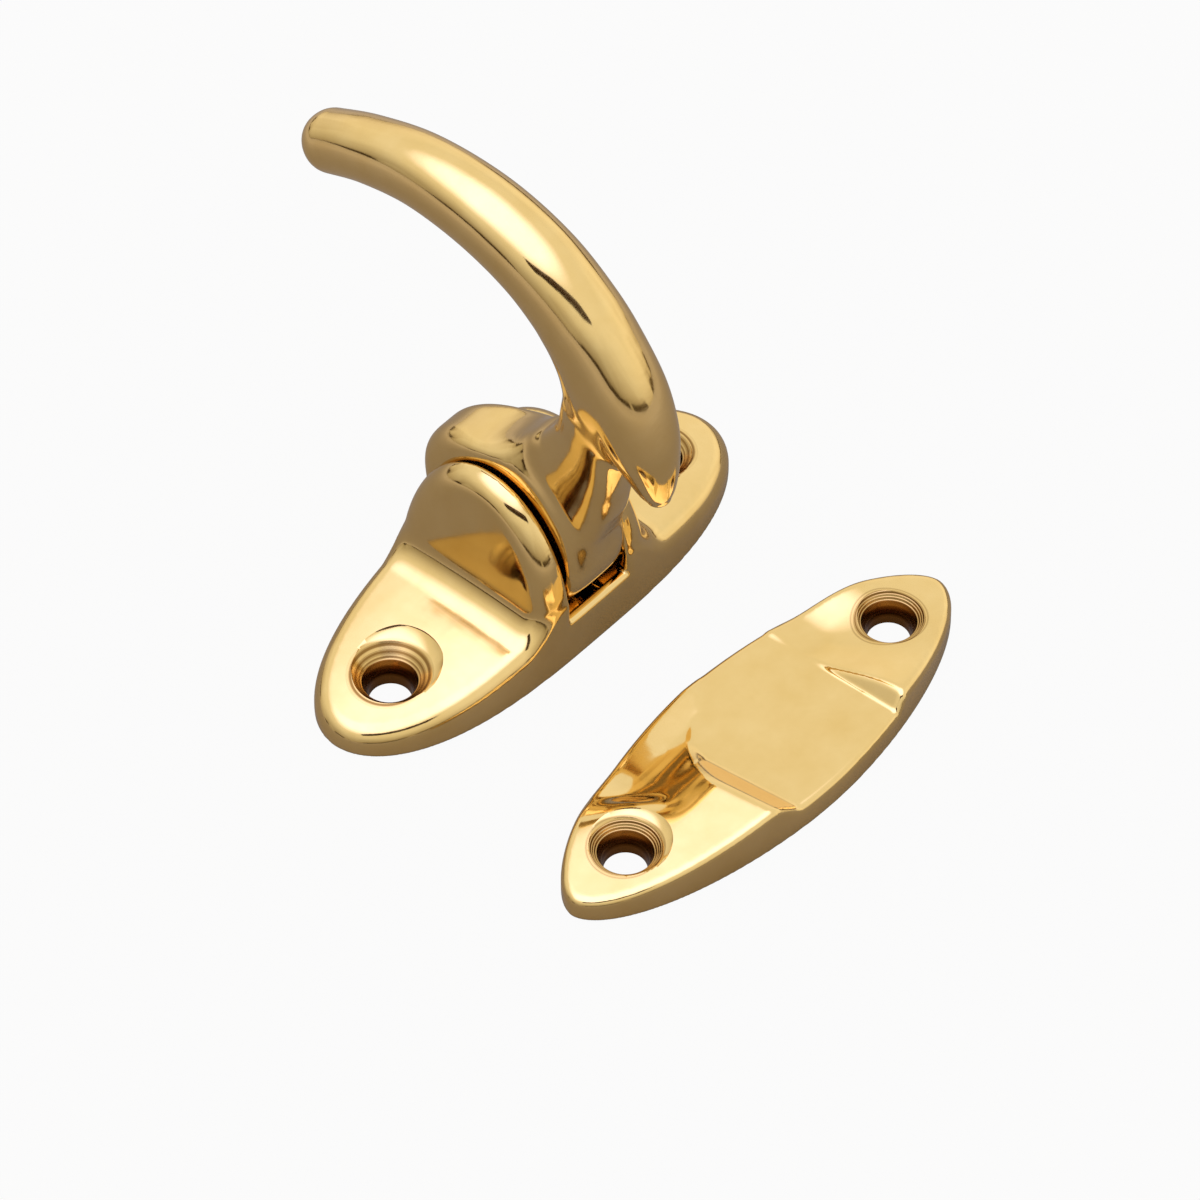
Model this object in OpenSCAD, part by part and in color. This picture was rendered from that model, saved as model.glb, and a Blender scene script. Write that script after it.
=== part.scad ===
// Spring catch: a sprung lever in a boat-shaped base, and its separate keeper.
// Origin: centre of the base's underside. X runs along the base and the pivot, +Y points to the nose,
// +Z points away from the surface that the base is screwed to.

/* [Base] */
// Length of the base
base_l = 65; // [60:1:72]
// Width of the base
base_w = 23.6; // [23.2:0.2:26]
// Height of a screw pad at its hole
base_pad_z = 4.9; // [4.2:0.1:6]
// Fall of a screw pad towards the tip, in degrees
base_pad_fall = 11; // [6:1:13]
// Rounding of the pads' top edges
base_edge_r = 2; // [1:0.1:2.4]

/* [Ears] */
// Width of the slot between the ears
slot_w = 9.9; // [9:0.1:11]
// Thickness of an ear at its foot
ear_t = 4.5; // [4:0.1:5.5]
// Height of the ears' tops above the underside
ear_top_z = 23.8; // [23.5:0.1:26]
// Height at which the ears' sides start to lean in
ear_side_z = 6.9; // [6:0.1:7.5]
// Rounding of the ears' outer rims
ear_rim_r = 2.8; // [1.5:0.1:3]
// Height of the sill across each end of the slot
sill_z = 6.7; // [6:0.1:7]
// Thickness of the sill at its top
sill_t = 1.4; // [1:0.1:1.8]
// Thickness of the floor under the slot
floor_t = 1.2; // [0.8:0.1:1.4]

/* [Pivot] */
// Height of the pivot above the underside
pivot_z = 13.7; // [13.5:0.1:14]
// Diameter of the pivot pin
pin_d = 5; // [4:0.1:6]
// Radial clearance of the hub on the pin
pin_clear = 0.05; // [0.02:0.01:0.1]

/* [Lever] */
// Width of the hub
hub_w = 8.8; // [8:0.1:8.9]
// Radius of the hub
hub_r = 11.6; // [11:0.1:11.8]
// Rounding of the hub's and nose's side edges
hub_edge_r = 1.9; // [1:0.1:2.4]
// Reach of the nose from the pivot
nose_reach = 13.2; // [12.4:0.1:14.2]
// Angle of the nose above the mounting plane, in degrees
nose_angle = 24; // [20:1:30]
// Reach of the heel that rests on the sill
heel_reach = 13.6; // [13.2:0.1:13.6]
// Radius of the arm at its tip
arm_tip_r = 3.9; // [3.4:0.1:4.4]
// Radius of the arm above the root
arm_root_r = 5; // [4.4:0.1:5.4]
// Height of the arm's highest centre point above the pivot
arm_rise = 45.2; // [42:0.2:50]
// Reach of the arm's tip centre in front of the pivot
arm_reach = 28; // [24:0.5:32]

/* [Spring] */
// Diameter of the spring wire
wire_d = 0.9; // [0.7:0.1:1]
// Mean radius of the spring coil
coil_r = 4.6; // [4.3:0.1:4.8]
// Number of turns of the spring
coil_turns = 3; // [2:1:3]
// Clearance around the spring
spring_gap = 0.35; // [0.3:0.05:0.4]

/* [Screw holes] */
// Distance between the two screw holes of the base
base_hole_x = 46; // [44:0.5:48]
// Distance between the two screw holes of the keeper
keeper_hole_x = 46; // [44:0.5:48]
// Diameter of the screw holes
hole_d = 5; // [4:0.1:5.4]
// Diameter of the base's countersinks at the pad
base_sink_d = 10; // [9:0.1:11]
// Diameter of the keeper's countersinks at the pad
keeper_sink_d = 9; // [8:0.1:9.6]

/* [Keeper] */
// Length of the keeper
keeper_l = 64.4; // [60:0.2:70]
// Width of the keeper
keeper_w = 23; // [22:0.2:26]
// Height of the keeper at its screw holes
keeper_pad_z = 4.2; // [3.8:0.1:4.8]
// Fall of the keeper's pads towards the tips, in degrees
keeper_pad_fall = 8; // [4:0.5:9]
// Height of the landing at its back edge
landing_z = 3.7; // [3.2:0.1:4]
// Fall of the landing towards its front edge, in degrees
landing_fall = 3; // [1:0.5:4]
// Length of the landing
landing_l = 19; // [16:0.5:22]
// Offset of the landing from the middle of the keeper
landing_off = 3; // [0:0.1:3]
// Distance from the base's middle line to the keeper's
keeper_gap_y = 36.8; // [32:0.2:60]
// Offset of the keeper along the base
keeper_off_x = -1.5; // [-5:0.1:5]

/* [Hidden] */

brass = [0.86, 0.68, 0.32];
steel = [0.62, 0.63, 0.65];
eps = 0.01;
cut = 40;

// Base: outline, pads and ears
base_hl = base_l / 2;
base_hw = base_w / 2;
base_n = 2.88;
slot_x = slot_w / 2;
foot_x = slot_x + ear_t;
ear_lean = 1.4;
face_top_x = foot_x - ear_lean;
foot_r = 2.8;
pad_tan = tan(base_pad_fall);
pocket_y = base_hw - sill_t;

// Lever: hub, nose, stem, arm and tail
hub_x = hub_w / 2;
nose_upper = 38;
nose_lower = 24;
heel_angle = -24;
heel_span = 16;
bore_r = pin_d / 2 + pin_clear;
rise_k = arm_rise / 45.2;
reach_k = arm_reach / 28;

// Spring and its recess in the hub
coil_pitch = wire_d + 0.05;
coil_len = coil_turns * coil_pitch;
recess_r = coil_r + wire_d / 2 + spring_gap;
recess_d = coil_len + wire_d + spring_gap;
recess_x = hub_x - recess_d;
coil_x = recess_x + spring_gap + wire_d / 2;
leg_l = 2;
leg_clear = 0.2;
leg_r = wire_d / 2 + leg_clear;

// Pin: blind in the near ear, flush in the far one
pin_blind = 2.6;
pin_x0 = -slot_x - pin_blind;
pin_x1 = foot_x - 0.75;

// Keeper
keeper_hl = keeper_l / 2;
keeper_hw = keeper_w / 2;
keeper_n = 1.79;
keeper_m = 1.79;
keeper_y = -keeper_gap_y;
keeper_edge_r = 1;
landing_x0 = landing_off - landing_l / 2;
landing_x1 = landing_off + landing_l / 2;
corner_r = 5;
corner_y = 2.2;
front_slant = 0.8;
front_dip = 0.62;
far_dip = 0.5;
near_wall = 0.7;
far_wall = 1.15;
front_wall = 1.8;

// Points of a surface made of rings, closed into a solid
module skin(rings) {
    n = len(rings[0]);
    k = len(rings);
    sides = [for (i = [0 : k - 2], j = [0 : n - 1])
        [i * n + j, i * n + (j + 1) % n, (i + 1) * n + (j + 1) % n, (i + 1) * n + j]];
    polyhedron(
        points = [for (ring = rings) each ring],
        faces = concat(
            [[for (j = [n - 1 : -1 : 0]) j]],
            sides,
            [[for (j = [0 : n - 1]) (k - 1) * n + j]]
        ),
        convexity = 8
    );
}

// Half width of a boat-shaped outline at x
function boat_w(x, l, w, n, m) = w * pow(max(0, 1 - pow(abs(x) / l, n)), 1 / m);

// Distance of a point from that outline
function boat_edge(x, y, l, w, n, m) =
    let (
        f = 1 - pow(abs(x) / l, n) - pow(abs(y) / w, m),
        gx = n * pow(abs(x) / l, n - 1) / l,
        gy = m * pow(abs(y) / w, m - 1) / w
    )
    max(0, f / max(0.001, norm([gx, gy])));

// Drop of a rounded edge of radius r at a distance d from the edge
function edge_drop(d, r) = d >= r ? 0 : r - sqrt(max(0, r * r - (r - d) * (r - d)));

// Height of a step with a fillet at its foot, d outside the foot's start
function step_rise(d, r, slope) = d >= r ? 0 : d >= 0 ? edge_drop(d, r) : r - d * slope;

// Height of the base's pads
function pad_z(x, y) =
    base_pad_z + pad_tan * (base_hole_x / 2 - abs(x))
    - edge_drop(boat_edge(x, y, base_hl, base_hw, base_n, 2), base_edge_r);

// Height of the ears' rounded dome, before its outer face is cut
function dome_z(x, y) =
    let (
        inset = edge_drop(max(0, face_top_x - abs(x)), ear_rim_r),
        w = boat_w(x, base_hl, base_hw, base_n, 2) - inset * 1.1
    )
    ear_side_z + (ear_top_z - inset - ear_side_z) * sqrt(max(0, 1 - pow(y / w, 2)));

// Top surface of the base
function base_z(x, y) =
    let (
        pad = pad_z(x, y),
        face = (ear_top_z - ear_rim_r - base_pad_z) / ear_lean
    )
    pad + max(0, min(dome_z(x, y) - pad, step_rise(abs(x) - foot_x, foot_r, face)));

// Places along half a base where its surface is worked out
base_half_x = concat(
    [slot_x * 0.5, slot_x],
    [for (a = [0 : 15 : 90]) face_top_x - ear_rim_r * cos(a)],
    [for (t = [0.25, 0.5, 0.75]) face_top_x + ear_lean * t],
    [for (a = [0 : 18 : 90]) foot_x + foot_r * (1 - cos(a))],
    [for (t = [0.12 : 0.125 : 1]) foot_x + foot_r + (base_hl * 0.82 - foot_x - foot_r) * t],
    [for (a = [8 : 8 : 88]) base_hl * (0.82 + 0.18 * sin(a))],
    [base_hl * 0.9999]
);

// All places along a part from those of its two halves
function both_ways(half) = concat([for (i = [len(half) - 1 : -1 : 0]) -half[i]], [0], half);

// One ring of the base: underside, walls and top
function base_ring(x) =
    let (w = boat_w(x, base_hl, base_hw, base_n, 2))
    concat(
        [[x, w, 0], [x, -w, 0]],
        [for (a = [-90 : 6 : 90]) let (y = w * sin(a)) [x, y, base_z(x, y)]]
    );

// Screw hole with its countersink, from the underside up
module screw_hole(pad, sink_d) {
    sink_h = (sink_d - hole_d) / 2;
    over = 1.6;
    translate([0, 0, -1])
        cylinder(h = pad + 2, d = hole_d, $fn = 48);
    translate([0, 0, pad - sink_h])
        cylinder(h = sink_h + over, d1 = hole_d, d2 = sink_d + 2 * over, $fn = 64);
}

// Boat-shaped base with its two ears and the pocket between them
module base_casting() {
    color(brass)
    difference() {
        skin([for (x = both_ways(base_half_x)) base_ring(x)]);
        // pocket for the hub, with a sill across each end
        translate([-slot_x, -pocket_y, floor_t])
            cube([slot_w, 2 * pocket_y, cut]);
        translate([-slot_x, -cut / 2, sill_z])
            cube([slot_w, cut, cut]);
        // bore for the pin, blind in the near ear
        translate([pin_x0, 0, pivot_z])
            rotate([0, 90, 0])
                cylinder(h = cut, d = pin_d, $fn = 64);
        // hole for the spring's outer leg in the far ear
        translate([slot_x - eps, 0, pivot_z + coil_r])
            rotate([0, 90, 0])
                cylinder(h = leg_l + spring_gap, r = leg_r, $fn = 32);
        for (s = [-1, 1])
            translate([s * base_hole_x / 2, 0, 0])
                screw_hole(base_pad_z, base_sink_d);
    }
}

// Rise of a rounded lobe on the hub, u degrees from its top
function lobe(u, span, reach) = abs(u) < span ? (reach - hub_r) * pow(cos(u / span * 90), 2) : 0;

// Radius of the hub at an angle from +Y, with the nose and the heel below it
function hub_profile(a) =
    let (u = a - nose_angle)
    hub_r + max(lobe(u, u < 0 ? nose_lower : nose_upper, nose_reach),
        lobe(a - heel_angle, heel_span, heel_reach));

// One ring of the hub, drawn in by its rounded edge
function hub_ring(x, inset) = [for (a = [180 : -4 : -176])
    let (r = hub_profile(a) - inset) [x, r * cos(a), pivot_z + r * sin(a)]];

module hub_body() {
    side = [for (a = [0 : 18 : 90]) [hub_edge_r * (1 - sin(a)), hub_edge_r * (1 - cos(a))]];
    near = [for (s = side) [-hub_x + s[1], s[0]]];
    far = [for (i = [len(side) - 1 : -1 : 0]) [hub_x - side[i][1], side[i][0]]];
    skin([for (s = concat(near, far)) hub_ring(s[0], s[1])]);
}

// Sections of the stem and arm: middle y and z from the pivot, half depth, angle of the outer side,
// half width and squareness
arm_sections = [
    [-5.6, 2.3, 6.4, 184, 4.1, 3],
    [-6.3, 6.4, 6.7, 184, 3.9, 2.8],
    [-7.6, 10.6, 6.5, 184, 3.4, 2.6],
    [-10, 14.8, 5.5, 183, 3.2, 2.3],
    [-12, 19.3, 5.3, 180, 3.4, 2.2],
    [-13.1, 24.3, 5.8, 175, 4.2, 2.1],
    [-13.2, 28.9, arm_root_r + 1.2, 167, 4.8, 2],
    [-12.1, 32.7, arm_root_r + 0.7, 152, 4.7, 2],
    [-8.8, 37.3, arm_root_r + 0.1, 137, 4.8, 2],
    [-2.9, 41.7, arm_root_r - 0.2, 118, 4.7, 2],
    [5, 44.4, arm_root_r - 0.4, 102, 4.6, 2],
    [14, 45, arm_tip_r + 0.4, 88, arm_tip_r + 0.4, 2],
    [22, 43.2, arm_tip_r + 0.1, 75, arm_tip_r + 0.1, 2],
    [27.8, 40.8, arm_tip_r, 66, arm_tip_r, 2]
];

// Sections of the pointed tail below the arm, from its tip up
tail_sections = [
    [-20.9, 15.4, 0.5, 172, 0.6, 2],
    [-20.6, 16.3, 1.1, 172, 1.3, 2],
    [-19.6, 19.8, 2.4, 170, 2.7, 2],
    [-17.6, 24.3, 3.9, 168, 4.4, 2],
    [-12.6, 31.5, 2.6, 160, 2.6, 2]
];

// Section scaled to the chosen rise and reach of the arm
function sized(s) = [s[0] * (s[0] > 0 ? reach_k : 1), s[1] * rise_k, s[2], s[3], s[4], s[5]];

// Smooth curve through the sections: t runs from 0 to 1 between b and c
function between(a, b, c, d, t) =
    0.5 * (2 * b + (c - a) * t + (2 * a - 5 * b + 4 * c - d) * t * t
        + (3 * b - a - 3 * c + d) * t * t * t);

function smooth_sections(list, steps) =
    let (last = len(list) - 1)
    concat(
        [for (i = [0 : last - 1], k = [0 : steps - 1])
            between(list[max(0, i - 1)], list[i], list[i + 1], list[min(last, i + 2)], k / steps)],
        [list[last]]
    );

function signed_pow(v, p) = sign(v) * pow(abs(v), p);

// Ring of one section, an oval or a rounded square, with its first point turned by part of a step
function section_ring(s, count, turn) = [for (k = [0 : count - 1])
    let (
        a = 360 * (k + turn) / count,
        d = s[2] * signed_pow(cos(a), 2 / s[5]),
        x = -s[4] * signed_pow(sin(a), 2 / s[5])
    )
    [x, s[0] + d * cos(s[3]), pivot_z + s[1] + d * sin(s[3])]];

// Ball end added after the last section
function ball_end(s) = [for (a = [15 : 15 : 75])
    let (c = s[2] * sin(a), dir = s[3] - 90)
    [s[0] + c * cos(dir), s[1] + c * sin(dir), s[2] * cos(a), s[3], s[4] * cos(a), s[5]]];

module stem_and_arm() {
    list = smooth_sections([for (s = arm_sections) sized(s)], 4);
    skin([for (s = concat(list, ball_end(list[len(list) - 1]))) section_ring(s, 28, 0)]);
}

module tail() {
    skin([for (s = smooth_sections([for (t = tail_sections) sized(t)], 3)) section_ring(s, 18, 0.5)]);
}

// Hub, nose, arm and tail in one casting
module lever() {
    color(brass)
    difference() {
        union() {
            hub_body();
            stem_and_arm();
            tail();
        }
        translate([-cut / 2, 0, pivot_z])
            rotate([0, 90, 0])
                cylinder(h = cut, r = bore_r, $fn = 64);
        // recess for the spring, open to the far ear
        translate([recess_x, 0, pivot_z])
            rotate([0, 90, 0])
                cylinder(h = recess_d + 1, r = recess_r, $fn = 64);
        // hole for the spring's inner leg
        translate([recess_x - leg_l, 0, pivot_z + coil_r])
            rotate([0, 90, 0])
                cylinder(h = leg_l + 1, r = leg_r, $fn = 32);
    }
}

// Pin through the hub, pressed in both ears
module pivot_pin() {
    chamfer = 0.4;
    color(brass)
    translate([pin_x0, 0, pivot_z])
    rotate([0, 90, 0])
    rotate_extrude($fn = 64)
        polygon([
            [0, 0],
            [pin_d / 2 - chamfer, 0],
            [pin_d / 2, chamfer],
            [pin_d / 2, pin_x1 - pin_x0 - chamfer],
            [pin_d / 2 - chamfer, pin_x1 - pin_x0],
            [0, pin_x1 - pin_x0]
        ]);
}

// Coil round the pin, with a straight leg at each end
module torsion_spring() {
    ring_n = 8;
    turn_n = 24;
    coil = [for (i = [0 : coil_turns * turn_n])
        let (a = 360 * i / turn_n, x = coil_x + coil_pitch * i / turn_n)
        [for (k = [0 : ring_n - 1])
            let (b = 360 * k / ring_n, r = coil_r + wire_d / 2 * cos(b))
            [x + wire_d / 2 * sin(b), -r * sin(a), pivot_z + r * cos(a)]]];
    color(steel) {
        skin(coil);
        translate([recess_x - leg_l + spring_gap, 0, pivot_z + coil_r])
            rotate([0, 90, 0])
                cylinder(h = leg_l + wire_d / 2, d = wire_d, $fn = 24);
        translate([coil_x + coil_len, 0, pivot_z + coil_r])
            rotate([0, 90, 0])
                cylinder(h = slot_x - coil_x - coil_len + leg_l, d = wire_d, $fn = 24);
    }
}

// Smooth step from 0 to 1
function ease(t) = let (c = min(1, max(0, t))) c * c * (3 - 2 * c);

// Height of the keeper's pads: highest beside the landing and dipping towards the front edge
function keeper_pad(x, y) =
    let (
        top = keeper_pad_z + tan(keeper_pad_fall) * (keeper_hole_x / 2 - abs(x)),
        clear = ease((norm([x + keeper_hole_x / 2, y]) - 4) / 5),
        near = ease((y + 3) / 10) * ease((x + 27) / 14) * ease((9 - x) / 6) * clear,
        far = ease((y + 9) / 14) * ease((x - 2) / 8) * ease((26 - x) / 10)
    )
    top * (1 - front_dip * near) * (1 - far_dip * far);

// Distance outside the landing: its near front corner is rounded and its front edge runs out at the rim
function landing_edge(x, y) =
    let (
        cx = landing_x0 + corner_r,
        front = y - corner_y - corner_r - front_slant * (x - cx),
        corner = norm([x - cx, y - corner_y]) - corner_r,
        side = max(landing_x0 - 0.08 * min(y, corner_y) - x, x - landing_x1)
    )
    y < corner_y ? side : max(side, x < cx ? corner : front);

// Top surface of the keeper, x and y from its middle: the landing lies between walls to the pads
function keeper_z(x, y) =
    let (
        d = landing_edge(x, y),
        land = landing_z - tan(landing_fall) * (y + keeper_hw),
        wall = x < landing_off ? near_wall : far_wall,
        pad = max(keeper_pad(x, y), land - front_wall * d),
        z = d < 0 ? land : min(land + wall * d, pad)
    )
    z - edge_drop(boat_edge(x, y, keeper_hl, keeper_hw, keeper_n, keeper_m), keeper_edge_r);

function keeper_ring(x) =
    let (w = boat_w(x, keeper_hl, keeper_hw, keeper_n, keeper_m))
    concat(
        [[x, w, 0], [x, -w, 0]],
        [for (a = [-90 : 3.75 : 90]) let (y = w * sin(a)) [x, y, keeper_z(x, y)]]
    );

// Places along the keeper: closer together at the landing's ends and at the tips
keeper_x =
    let (
        near = 0.84 * keeper_hl,
        start = landing_x0 - 2,
        middle = landing_x0 + corner_r + 1,
        last = landing_x1 + 3
    )
    concat(
        [-keeper_hl * 0.9999],
        [for (a = [84 : -10 : 4]) -near - 0.16 * keeper_hl * sin(a)],
        [for (t = [0 : 0.08 : 0.99]) -near + (start + near) * t],
        [for (t = [0 : 0.04 : 0.99]) start + (middle - start) * t],
        [for (t = [0 : 0.14 : 0.99]) middle + (landing_x1 - middle) * t],
        [for (t = [0 : 0.125 : 0.99]) landing_x1 + (last - landing_x1) * t],
        [for (t = [0 : 0.15 : 1]) last + (near - last) * t],
        [for (a = [4 : 10 : 84]) near + 0.16 * keeper_hl * sin(a)],
        [keeper_hl * 0.9999]
    );

// Separate strike plate with its flat landing between two pads
module keeper_plate() {
    color(brass)
    translate([keeper_off_x, keeper_y, 0])
    difference() {
        skin([for (x = keeper_x) keeper_ring(x)]);
        for (s = [-1, 1])
            translate([s * keeper_hole_x / 2, 0, 0])
                screw_hole(keeper_pad_z, keeper_sink_d);
    }
}

base_casting();
lever();
pivot_pin();
torsion_spring();
keeper_plate();
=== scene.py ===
import math

import bmesh
import bpy
import numpy as np
from mathutils import Matrix, Vector


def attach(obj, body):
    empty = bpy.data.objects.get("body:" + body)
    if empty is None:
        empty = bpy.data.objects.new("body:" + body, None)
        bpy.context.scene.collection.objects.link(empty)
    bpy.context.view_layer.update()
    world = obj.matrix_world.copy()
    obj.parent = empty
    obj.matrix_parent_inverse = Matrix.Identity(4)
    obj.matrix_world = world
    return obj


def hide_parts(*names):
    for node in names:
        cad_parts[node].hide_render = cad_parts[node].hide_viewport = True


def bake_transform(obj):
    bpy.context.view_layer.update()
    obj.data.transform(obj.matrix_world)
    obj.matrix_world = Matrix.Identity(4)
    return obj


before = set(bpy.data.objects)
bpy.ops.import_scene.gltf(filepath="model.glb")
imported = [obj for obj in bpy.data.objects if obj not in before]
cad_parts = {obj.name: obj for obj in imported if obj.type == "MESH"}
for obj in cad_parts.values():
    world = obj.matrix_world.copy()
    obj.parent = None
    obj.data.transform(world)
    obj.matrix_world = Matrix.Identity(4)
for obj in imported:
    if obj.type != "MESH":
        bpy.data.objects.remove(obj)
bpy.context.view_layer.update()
print("frame loaded")

# Pieces are worked out in millimetres and degrees, and made metres when they are finished.
metre = 0.001
tiny = 1e-6

# Pin: its height, its hole from inside the near ear out past the far one, and the holes of the spring's legs.
hinge = {
    "height": 13.7, "pinRadius": 2.5, "pinStart": -7.6, "pinEnd": 14,
    "legHeight": 4.6, "legHole": 0.65, "legSides": 32,
}

# Fields give the distance from a surface, negative inside. These join two of them.

def roundMeet(a, b, r):  # the part inside both, its edge rounded
    return np.minimum(np.maximum(a, b), -r) + np.hypot(np.maximum(a + r, 0), np.maximum(b + r, 0))


def roundJoin(a, b, r):  # the part inside either, with a fillet between them
    return np.maximum(np.minimum(a, b), r) - np.hypot(np.maximum(r - a, 0), np.maximum(r - b, 0))


def softMin(a, b, r):
    return np.minimum(a, b) - np.maximum(r - np.abs(a - b), 0) ** 2 / (4 * r)


def softMax(a, b, r):
    return -softMin(-a, -b, r)


def ease(t):  # smooth step from 0 to 1
    t = np.clip(t, 0, 1)
    return t * t * (3 - 2 * t)


def easeOver(value, span):  # 0 at the span's first end and 1 at its second
    start, end = span
    return ease((value - start) / (end - start))


def boatEdge(x, y, boat):  # distance from the boat-shaped outline
    length, width = boat["halfLength"], boat["halfWidth"]
    n, m = boat["lengthPower"], boat["widthPower"]
    along, across = np.abs(x) / length, np.abs(y) / width
    slope = np.hypot(n * along ** (n - 1) / length, m * across ** (m - 1) / width)
    return np.maximum((along ** n + across ** m - 1) / np.maximum(slope, tiny), -width)


def boatWidth(x, boat):  # half width of that outline at x
    inside = np.clip(1 - (np.abs(x) / boat["halfLength"]) ** boat["lengthPower"], 0, 1)
    return boat["halfWidth"] * inside ** (1 / boat["widthPower"])


# Base casting: two screw pads, two domed ears and the pocket between them.
base = {
    "halfLength": 32.5, "halfWidth": 11.8, "lengthPower": 2.88, "widthPower": 2,
    "padHeight": 4.95, "padFall": 11, "padEdge": 2.1, "padCrown": 0.55, "bottomEdge": 0.4,
    "holeSpacing": 46, "sinkRadius": 5,
    "earTop": 23.8, "earSide": 6.9, "earFoot": 9.9, "earLean": 2.3, "earRim": 2.9, "earLeast": 0.5,
    "footFillet": 3.0,
    "slotHalf": 4.95, "slotEdge": 0.8, "sillHeight": 6.7, "sillWall": 1.4, "sillEdge": 0.35, "floor": 1.2,
    "legHoleDepth": (4.9, 7.3), "voxels": (0.4, 0.27), "evenRounds": 3,
}


def baseField(x, y, z):
    ax = np.abs(x)
    edge = boatEdge(x, y, base)
    fall = math.radians(base["padFall"])
    crown = base["padCrown"] * (y / base["halfWidth"]) ** 2
    top = (z - base["padHeight"] + crown - math.tan(fall) * (base["holeSpacing"] / 2 - ax)) * math.cos(fall)
    pad = roundMeet(edge, top, base["padEdge"])
    w = np.maximum(boatWidth(x, base), base["earLeast"])
    h = base["earTop"] - base["earSide"]
    up = np.maximum(z - base["earSide"], 0)
    k = np.sqrt((y / w) ** 2 + (up / h) ** 2)
    slope = np.maximum(np.hypot(y / w ** 2, up / h ** 2), tiny)
    dome = np.where(up > 0, (k - 1) * k / slope, np.abs(y) - w)
    lean = math.atan(base["earLean"] / (base["earTop"] - base["padHeight"]))
    face = (ax - base["earFoot"]) * math.cos(lean) + (z - base["padHeight"]) * math.sin(lean)
    ear = roundMeet(dome, face, base["earRim"])
    body = np.maximum(roundJoin(pad, ear, base["footFillet"]), edge)
    body = roundMeet(body, -z, base["bottomEdge"])
    pocket = np.maximum(np.abs(y) - (base["halfWidth"] - base["sillWall"]), base["floor"] - z)
    opening = np.maximum(ax - base["slotHalf"], roundJoin(base["sillHeight"] - z, pocket, base["sillEdge"]))
    return roundMeet(body, -opening, base["slotEdge"])


# Keeper plate: two arched screw pads and the flat landing between them. Its places are from its middle.
# A dip fades in from the first end of each span to the second.
keeper = {
    "halfLength": 32.2, "halfWidth": 11.45, "lengthPower": 1.79, "widthPower": 1.79,
    "middleX": -1.5, "middleY": -36.8, "holeSpacing": 46, "sinkRadius": 4.5,
    "padHeight": 4.2, "padFall": 8, "edge": 1.0, "bottomEdge": 0.4, "topSlope": 0.95,
    "frontDip": 0.62, "frontDipAcross": (-3, 7), "frontDipEnd": (-27, -13), "frontDipInner": (9, 3),
    "farDip": 0.5, "farDipAcross": (-9, 5), "farDipInner": (2, 10), "farDipEnd": (26, 16),
    "holeClear": (4, 9),
    "landHeight": 3.7, "landFall": 3, "landStart": -6.5, "landEnd": 12.5, "landSlant": 0.08,
    "cornerRadius": 5, "cornerY": 2.2, "frontSlant": 0.8,
    "nearWall": 0.7, "farWall": 1.15, "wallChange": 3, "frontWall": 1.8,
    "landBlend": 0.3, "frontBlend": 1.0, "wallBlend": 0.6,
    "voxels": (0.35, 0.24), "evenRounds": 3,
}


def landingEdge(x, y):  # distance outside the landing
    r = keeper["cornerRadius"]
    cx = keeper["landStart"] + r
    up = y - keeper["cornerY"]
    start = keeper["landStart"] - keeper["landSlant"] * np.minimum(y, keeper["cornerY"])
    side = np.maximum(start - x, x - keeper["landEnd"])
    front = np.where(x < cx, np.hypot(x - cx, up) - r, up - r - keeper["frontSlant"] * (x - cx))
    return np.where(up < 0, side, np.maximum(side, front))


def padTop(x, y):  # height of the keeper's pads, which dip towards the front edge
    hole = keeper["holeSpacing"] / 2
    top = keeper["padHeight"] + math.tan(math.radians(keeper["padFall"])) * (hole - np.abs(x))
    near = easeOver(y, keeper["frontDipAcross"]) * easeOver(x, keeper["frontDipEnd"])
    near = near * easeOver(x, keeper["frontDipInner"]) * easeOver(np.hypot(x + hole, y), keeper["holeClear"])
    far = easeOver(y, keeper["farDipAcross"]) * easeOver(x, keeper["farDipInner"])
    far = far * easeOver(x, keeper["farDipEnd"])
    return top * (1 - keeper["frontDip"] * near) * (1 - keeper["farDip"] * far)


def keeperTop(x, y):
    d = landingEdge(x, y)
    land = keeper["landHeight"] - math.tan(math.radians(keeper["landFall"])) * (y + keeper["halfWidth"])
    wall = np.where(x < keeper["wallChange"], keeper["nearWall"], keeper["farWall"])
    rise = softMax(land, land + wall * d, keeper["landBlend"])
    fall = softMax(padTop(x, y), land - keeper["frontWall"] * d, keeper["frontBlend"])
    return softMin(rise, fall, keeper["wallBlend"])


def keeperField(x, y, z):
    x, y = x - keeper["middleX"], y - keeper["middleY"]
    top = (z - keeperTop(x, y)) * keeper["topSlope"]
    return roundMeet(roundMeet(boatEdge(x, y, keeper), top, keeper["edge"]), -z, keeper["bottomEdge"])


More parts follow.
